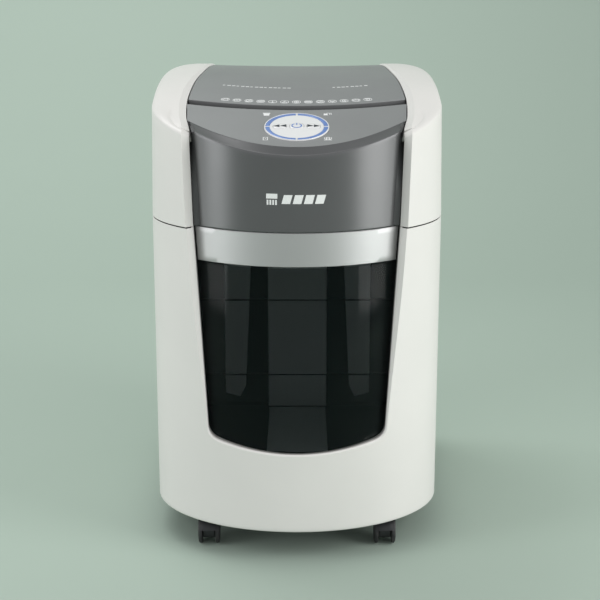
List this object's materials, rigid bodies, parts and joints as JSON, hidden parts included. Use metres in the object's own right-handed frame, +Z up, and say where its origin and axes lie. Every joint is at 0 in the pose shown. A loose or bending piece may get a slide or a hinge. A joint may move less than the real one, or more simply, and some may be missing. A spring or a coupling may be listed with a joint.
{
  "type": "paper shredder",
  "caption": "Office paper shredder on castors with a pull-out bin behind a smoked window, an auto-feed lid, a hand-feed slot and a round control dial.",
  "frame": {"origin": "on the floor, below the middle of the body's plan", "axes": "+Z up, the front with the window faces -Y, +X to the right seen from the front"},
  "size_m": [0.345, 0.445, 0.5529],
  "materials": {
    "white_shell": "semi-gloss white moulded plastic, very fine texture",
    "grey_gloss": "gloss graphite grey plastic",
    "silver_grey": "satin metallic-grey plastic",
    "brushed_band": "satin silver, fine vertical sheen",
    "smoked_window": "smoked transparent plastic, polished",
    "black_plastic": "fine-textured black plastic",
    "dial_white": "smooth white plastic",
    "ring_blue": "translucent blue light guide",
    "board_green": "solder-masked board",
    "rubber": "matt rubber tread",
    "steel": "machined and zinc-plated steel"
  },
  "bodies": {
    "cabinet": {"base_tray": "black_plastic", "side_cover_left": "white_shell", "side_cover_right": "white_shell", "back_cover": "white_shell", "cutter_deck_frame": "steel", "head_cover_left": "white_shell", "head_cover_right": "white_shell", "head_rear_panel": "silver_grey", "front_panel": "grey_gloss", "front_mark": "brushed_band", "control_panel": "silver_grey", "lamp_bin_full": "dial_white", "lamp_overload": "dial_white", "lamp_bin_open": "dial_white", "lamp_overheat": "dial_white", "slot_guide": "black_plastic", "dial_rim": "dial_white", "dial_ring_light": "ring_blue", "dial_face": "dial_white", "lid_hinge_rod": "steel", "paper_tray": "black_plastic", "cutter_plate_left": "steel", "cutter_plate_right": "steel", "bearing_front_left": "steel", "bearing_front_right": "steel", "bearing_back_left": "steel", "bearing_back_right": "steel", "idler_pin": "steel", "motor": "steel", "circuit_board": "board_green", "mains_inlet": "black_plastic"},
    "bin": {"bin_front": "white_shell", "bin_band": "brushed_band", "bin_window": "smoked_window", "window_surround": "white_shell", "bin_tub": "black_plastic", "grip_cup_left": "black_plastic", "grip_cup_right": "black_plastic"},
    "lid": {"lid": "silver_grey"},
    "pressure_plate": {"lid_pressure_plate": "black_plastic"},
    "power_key": {"power_button": "dial_white"},
    "forward_key": {"forward_button": "dial_white"},
    "reverse_key": {"reverse_button": "dial_white"},
    "mains_rocker": {"power_switch": "black_plastic"},
    "front_cutter": {"cutter_shaft_front": "steel", "cutter_gear_front": "steel"},
    "back_cutter": {"cutter_shaft_back": "steel", "cutter_gear_back": "steel"},
    "idler": {"idler_gear": "steel"},
    "pinion": {"motor_pinion": "steel"},
    "roller": {"feed_roller": "rubber"},
    "castor_front_left": {"castor_hood_front_left": "black_plastic"},
    "wheel_front_left": {"castor_wheel_front_left": "rubber"},
    "castor_front_right": {"castor_hood_front_right": "black_plastic"},
    "wheel_front_right": {"castor_wheel_front_right": "rubber"},
    "castor_back_left": {"castor_hood_back_left": "black_plastic"},
    "wheel_back_left": {"castor_wheel_back_left": "rubber"},
    "castor_back_right": {"castor_hood_back_right": "black_plastic"},
    "wheel_back_right": {"castor_wheel_back_right": "rubber"}
  },
  "joints": [
    {"name": "bin_slide", "type": "slide", "parent": "cabinet", "child": "bin", "axis": [0, -1, 0], "range_m": [0, 0.3]},
    {"name": "lid_hinge", "type": "hinge", "parent": "cabinet", "child": "lid", "pos_m": [0, 0.2085, 0.52688], "axis": [-1, 0, 0], "range_deg": [0, 80]},
    {"name": "pressure_plate_hinge", "type": "hinge", "parent": "lid", "child": "pressure_plate", "pos_m": [0, 0.03, 0.537], "axis": [-1, 0, 0], "range_deg": [0, 13], "stiffness_Nm_per_rad": 0.05, "springref_deg": -17.19},
    {"name": "power_press", "type": "slide", "parent": "cabinet", "child": "power_key", "axis": [0, 0.2958, -0.9553], "range_m": [0, 0.0012], "stiffness_N_per_m": 400},
    {"name": "forward_press", "type": "slide", "parent": "cabinet", "child": "forward_key", "axis": [0, 0.2958, -0.9553], "range_m": [0, 0.0012], "stiffness_N_per_m": 400},
    {"name": "reverse_press", "type": "slide", "parent": "cabinet", "child": "reverse_key", "axis": [0, 0.2958, -0.9553], "range_m": [0, 0.0012], "stiffness_N_per_m": 400},
    {"name": "mains_rocker_tilt", "type": "hinge", "parent": "cabinet", "child": "mains_rocker", "pos_m": [0.042, 0.2155, 0.425], "axis": [1, 0, 0], "range_deg": [-6, 6]},
    {"name": "front_cutter_spin", "type": "hinge", "parent": "cabinet", "child": "front_cutter", "pos_m": [0, -0.1175, 0.44], "axis": [1, 0, 0], "continuous": true},
    {"name": "back_cutter_spin", "type": "hinge", "parent": "cabinet", "child": "back_cutter", "pos_m": [0, -0.0815, 0.44], "axis": [1, 0, 0], "continuous": true},
    {"name": "idler_spin", "type": "hinge", "parent": "cabinet", "child": "idler", "pos_m": [0.1275, -0.0335, 0.44], "axis": [1, 0, 0], "continuous": true},
    {"name": "pinion_spin", "type": "hinge", "parent": "cabinet", "child": "pinion", "pos_m": [0.1275, 0.0065, 0.44], "axis": [1, 0, 0], "continuous": true},
    {"name": "roller_spin", "type": "hinge", "parent": "cabinet", "child": "roller", "pos_m": [0, -0.01913, 0.47947], "axis": [1, 0, 0], "continuous": true},
    {"name": "castor_swivel_front_left", "type": "hinge", "parent": "cabinet", "child": "castor_front_left", "pos_m": [-0.106, -0.1505, 0.0385], "axis": [0, 0, 1], "continuous": true},
    {"name": "castor_roll_front_left", "type": "hinge", "parent": "castor_front_left", "child": "wheel_front_left", "pos_m": [-0.106, -0.1605, 0.018], "axis": [1, 0, 0], "continuous": true},
    {"name": "castor_swivel_front_right", "type": "hinge", "parent": "cabinet", "child": "castor_front_right", "pos_m": [0.106, -0.1505, 0.0385], "axis": [0, 0, 1], "continuous": true},
    {"name": "castor_roll_front_right", "type": "hinge", "parent": "castor_front_right", "child": "wheel_front_right", "pos_m": [0.106, -0.1605, 0.018], "axis": [1, 0, 0], "continuous": true},
    {"name": "castor_swivel_back_left", "type": "hinge", "parent": "cabinet", "child": "castor_back_left", "pos_m": [-0.106, 0.17, 0.0385], "axis": [0, 0, 1], "continuous": true},
    {"name": "castor_roll_back_left", "type": "hinge", "parent": "castor_back_left", "child": "wheel_back_left", "pos_m": [-0.106, 0.16, 0.018], "axis": [1, 0, 0], "continuous": true},
    {"name": "castor_swivel_back_right", "type": "hinge", "parent": "cabinet", "child": "castor_back_right", "pos_m": [0.106, 0.17, 0.0385], "axis": [0, 0, 1], "continuous": true},
    {"name": "castor_roll_back_right", "type": "hinge", "parent": "castor_back_right", "child": "wheel_back_right", "pos_m": [0.106, 0.16, 0.018], "axis": [1, 0, 0], "continuous": true}
  ],
  "couplings": [
    {"joint": "back_cutter_spin", "follows": "front_cutter_spin", "ratio": -1},
    {"joint": "idler_spin", "follows": "front_cutter_spin", "ratio": 0.6},
    {"joint": "pinion_spin", "follows": "front_cutter_spin", "ratio": -1.8},
    {"joint": "roller_spin", "follows": "front_cutter_spin", "ratio": -1.5}
  ]
}
